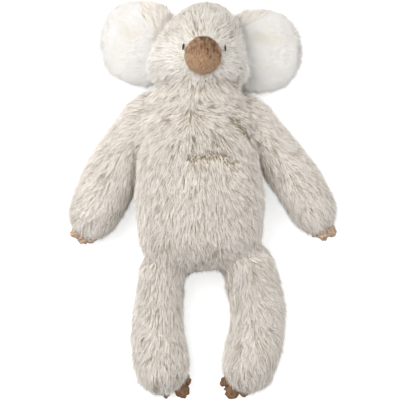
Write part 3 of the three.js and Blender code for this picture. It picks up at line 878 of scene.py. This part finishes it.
BODY_FUR = dict(density=2.1, length=13.0, radius=0.155, flow=flow_body, material=plush, clump=1.4, pull=0.5,
                turn=0.2, shade_range=(0.9, 0.08, 0.08), edge=0.3, olive=0.08, tone=body_shade)
FACE_FUR = dict(BODY_FUR, length=face_length, lift=(22, 8))
PALE_FUR = dict(FACE_FUR, material=face_pile, edge=0.24, olive=0.05, tone=face_tone, keep=pale_face)
WARM_FUR = dict(FACE_FUR, keep=warm_face)
for seed, name in enumerate(forms):
    skin = skins[name]
    fabric = skin.patch(name)
    slot = "face_plush" if name == "head" else "body_plush"
    dress(fabric, backing, slot, *STANDS_FOR.get(name, FORMS[name][0] if name in FORMS else ()))
    follow(fabric, name)
    patch = Patch(skin.points, skin.normals, skin.triangles[skin.owned(skin.triangles, name)])
    looks = {"pale_fur": PALE_FUR, "warm_fur": WARM_FUR} if name == "head" else {"fur": BODY_FUR}
    for label, look in looks.items():
        for piece in fur(f"{name}_{label}", patch, 10 + 3 * seed, **look):
            follow(piece, name)

# Ears: the line that each is cast from, the line it folds on, its width and height against the solid's and
# its shift up, how far out the grey top edge reaches at each height, and the places, sizes and depths of
# the cream patches (mm)
EARS = {
    "right": dict(
        axis=((-44, 138, 10.5), (-72, 142, 10.5)), hinge=((-69.5, 94), (-45, 170)),
        trim=(0.93, 1.07), shift=1.0,
        fold=((44, 136), (44, 148), (47, 157), (55, 168), (59, 182)), cream=((-66, 148, 9, 7, 0.4),)),
    "left": dict(
        axis=((46, 132, 10.5), (74, 133, 10.5)), hinge=((61.5, 94), (51, 170)),
        trim=(1.0, 1.1), shift=1.5,
        fold=((36, 150), (44, 157), (58, 165), (66, 174)), cream=((60, 145, 22, 6, 0.45),)),
}
EAR_PILE = dict(density=3.4, length=10, material=ear_pile, lift=(12, 4), radius=0.15, clump=3.0, pull=0.12,
                turn=0.1, tousle=0.12, stray=0.1, olive=0, shade_range=(0.85, 0.03, 0.03), lit=1.2)
EAR_BACK_FUR = dict(density=1.7, length=11, material=plush, radius=0.17, clump=1.6, olive=0.03,
                    shade_range=(0.92, 0.06, 0.06), edge=0.15, lit=0.8)
for side, sign in SIDES.items():
    ear = EARS[side]
    ear_nodes = [f"ear_{side}_inner_panel", f"ear_{side}_outer_panel", f"ear_{side}_gather"]
    hinge = np.array(ear["hinge"])
    across = np.array([hinge[1, 1] - hinge[0, 1], hinge[0, 0] - hinge[1, 0]])
    across = across * sign * np.sign(across[0]) / np.linalg.norm(across)
    root, tip = ((*(hinge.mean(0) + across * away), 10.5) for away in (-7, 7))
    FOLLOW[f"ear_{side}"] = ("head", f"ear_{side}", root, tip)
    points, faces = closed_mesh(cast_form(ear_nodes, *ear["axis"], 2.0))
    middle = np.append(hinge.mean(0), 10.5) * MM
    points = middle + (points - middle) * np.array([*ear["trim"], 1.0]) + np.array([0, ear["shift"], 0]) * MM
    fabric = add_mesh(f"ear_{side}_fabric", points, faces)
    dress(fabric, ear_backing, "ear_white", *ear_nodes)
    follow(fabric, f"ear_{side}")
    patch = Patch(*mesh_arrays(fabric.data))

    def flow_ear(points, sign=sign):
        x, y = plan(points)
        return directions(x - sign * 28, (y - 128) * 0.8)

    def white_side(roots, normals, fold=np.array(ear["fold"], float)):
        """The ear's front, but for the grey top edge that folds over beside the head."""
        x, y = plan(roots)
        reach = np.interp(y, fold[:, 1], fold[:, 0], left=0)
        return (normals[:, 2] > -0.65) & (np.abs(x) > reach)

    def ear_tone(points, cream=ear["cream"]):
        """Warm patches in the white pile."""
        x, y = plan(points)
        return -sum(depth * np.exp(-(((x - cx) / wide) ** 2) - ((y - cy) / tall) ** 2)
                    for cx, cy, wide, tall, depth in cream)

    def grey_side(roots, normals, white_side=white_side):
        return ~white_side(roots, normals)

    for piece in fur(f"ear_{side}_pile", patch, 50 + sign, flow=flow_ear, keep=white_side, tone=ear_tone,
                     **EAR_PILE):
        follow(piece, f"ear_{side}")
    for piece in fur(f"ear_{side}_back_fur", patch, 60 + sign, flow=flow_ear, keep=grey_side, **EAR_BACK_FUR):
        follow(piece, f"ear_{side}")

# Nose
nose_grid = cast_form(["nose_cover"], (3, 129, 78), (3, 129.5, 78), 0.6, smooth=1)
# its rim is tucked into the pile of the face
tuck = smooth_step((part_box("nose_cover")[0][2] - nose_grid[..., 2]) / MM, -9, 0)
nose_grid[..., 2] -= 6 * MM * tuck
nose_grid[..., :2] += (NOSE - nose_grid[..., :2]) * (0.12 * tuck)[..., None]
# and it is narrower towards the top
top = smooth_step((nose_grid[..., 1] - NOSE[1]) / MM, 2, 19)
nose_grid[..., 0] += (NOSE[0] - nose_grid[..., 0]) * 0.08 * top
nose = add_mesh("nose_fabric", *closed_mesh(nose_grid))
dress(nose, nose_backing, "nose_pile", "nose_cover")
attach(nose, "head")


def flow_nose(points):
    """The pile is stroked down over most of the nose, and up at its top edge."""
    across, along = ((points[:, :2] - NOSE) / (19 * MM)).T
    return directions(across * 0.8, along * 0.9 - 0.8)


def nose_shade_and_streaks(points):
    """Painted shade, darker towards the top and the koala's left and lighter below, over the pile's own
    streaks that run down and spots.
    """
    across, along = ((points[:, :2] - NOSE) / (19 * MM)).T
    streaks = wander(points * np.array([1.0, 0.22, 0.4]), 2.4 * MM, 76)[:, 0]
    spots = wander(points, 7 * MM, 77)[:, 0]
    return 0.2 * streaks + 0.12 * spots - 0.42 * along - 0.14 * across - 0.24


NOSE_PILE = dict(density=4.0, length=3.4, flow=flow_nose, material=nose_pile, lift=(32, 12), radius=0.15,
                 clump=0.9, pull=0.4, stray=0.08, olive=0.03, tone=nose_shade_and_streaks)
for piece in fur("nose_short_pile", Patch(*mesh_arrays(nose.data)), 71, **NOSE_PILE):
    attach(piece, "head")


# Stitches of the face: bundles of thread laid side by side over a low crown
def thread_bundle(name, node, material, lean, threads, rise=1.6, sides=6, steps=9):
    """Lean is the stitch's turn on the plan in degrees, and rise how far it stands off its node (mm)."""
    low, high = (np.array(corner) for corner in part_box(node))
    centre, size = (low + high) / 2, (high - low)
    length = size[1] * (1.12 if size[1] > size[0] else 0.7)
    width = min(size[0], size[1]) * 0.85
    points, faces = [], []
    for thread in range(threads):
        share = (thread + 0.5) / threads - 0.5
        first = len(points)
        radius = width / threads * 0.62
        for step in range(steps):
            along = step / (steps - 1) - 0.5
            reach = length * (1 - 0.5 * (2 * share) ** 2)
            bend = math.sqrt(max(0.0, 1 - (2 * along) ** 2))
            middle = np.array([
                share * width * (0.35 + 0.65 * bend), along * reach, (0.45 * bend - 0.25) * size[2]])
            for side in range(sides):
                angle = 2 * math.pi * side / sides + 1.1 * step
                ring = np.array([math.cos(angle), 0, math.sin(angle)]) * radius
                points.append(middle + ring)
        for step in range(steps - 1):
            for side in range(sides):
                a = first + step * sides + side
                b = first + step * sides + (side + 1) % sides
                faces.append((a, b, b + sides, a + sides))
        faces.append(tuple(first + side for side in range(sides))[::-1])
        faces.append(tuple(first + (steps - 1) * sides + side for side in range(sides)))
    turn = np.radians(lean)
    points = np.array(points)
    x = points[:, 0] * math.cos(turn) - points[:, 1] * math.sin(turn)
    y = points[:, 0] * math.sin(turn) + points[:, 1] * math.cos(turn)
    placed = np.stack([x, y, points[:, 2]], 1) + centre + np.array([0, 0, rise]) * MM
    piece = add_mesh(name, placed, faces)
    dress(piece, material, "thread", node)
    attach(piece, "head")


thread_bundle("eye_thread_right", "eye_stitching_right", thread, -10, 4)
thread_bundle("eye_thread_left", "eye_stitching_left", thread, 4, 4)
thread_bundle("mouth_thread", "mouth_stitching", thread, 50, 4, rise=5.2)


def node_centre(node):
    points = np.array([vertex.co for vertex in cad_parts[node].data.vertices])
    return points.mean(0) / MM


def lumpy(node, inset, lumps, size, seed, grow=1.0, rings=30, sides=36):
    """A form cast from one node, with soft lumps pressed into it (mm), and then grown by a factor."""
    centre = node_centre(node)
    grid = cast_form([node], centre, centre + (0, 0.4, 0), inset, rings=rings, sides=sides, smooth=1)
    middle = centre * MM
    flat = grid.reshape(-1, 3)
    press = wander(flat, size * MM, seed, waves=9)[:, :1] * lumps * MM
    out = unit(flat - middle)
    flat = middle + (flat - middle) * grow + out * press
    grid = flat.reshape(grid.shape)
    grid[0], grid[-1] = grid[0].mean(0), grid[-1].mean(0)
    return closed_mesh(grid)


# Claws: suede lobes, dimpled and creased
for limb, body_of, dark in (("arm", "arm", False), ("foot", "leg", True)):
    for side in SIDES:
        for claw in (1, 2, 3):
            node = f"{limb}_{side}_claw_{claw}"
            piece = add_mesh(f"{node}_suede", *lumpy(node, 0, 0.8, 5, 80 + claw, 1.12))
            dress(piece, suede if dark else suede_light, "suede", node)
            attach(piece, f"{body_of}_{side}")

# The stuffing inside: each node's body, the height and size of its lumps, and how far in it is cast (mm)
STUFFING = {
    "torso_stuffing": ("torso", 1.6, 22, 1.0), "seat_pellet_bag": ("torso", 1.0, 7, 0.5),
    "head_stuffing": ("head", 1.5, 20, 1.0), "nose_filling": ("head", 0.5, 9, 0.4),
}
for side in SIDES:
    STUFFING[f"ear_{side}_wadding"] = (f"ear_{side}", 0.6, 14, 0.6)
    STUFFING[f"arm_{side}_stuffing"] = (f"arm_{side}", 1.0, 14, 0.8)
    STUFFING[f"leg_{side}_stuffing"] = (f"leg_{side}", 1.0, 14, 0.8)
    STUFFING[f"foot_{side}_pellet_pouch"] = (f"leg_{side}", 0.8, 6, 0.5)
for seed, (node, (carrier, lumps, size, inset)) in enumerate(STUFFING.items()):
    pellets = "pellet" in node
    piece = add_mesh(f"{node}_lumps", *lumpy(node, inset, lumps, size, 90 + seed))
    dress(piece, pellet_cloth if pellets else wadding, "pellets" if pellets else "wadding", node)
    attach(piece, carrier)
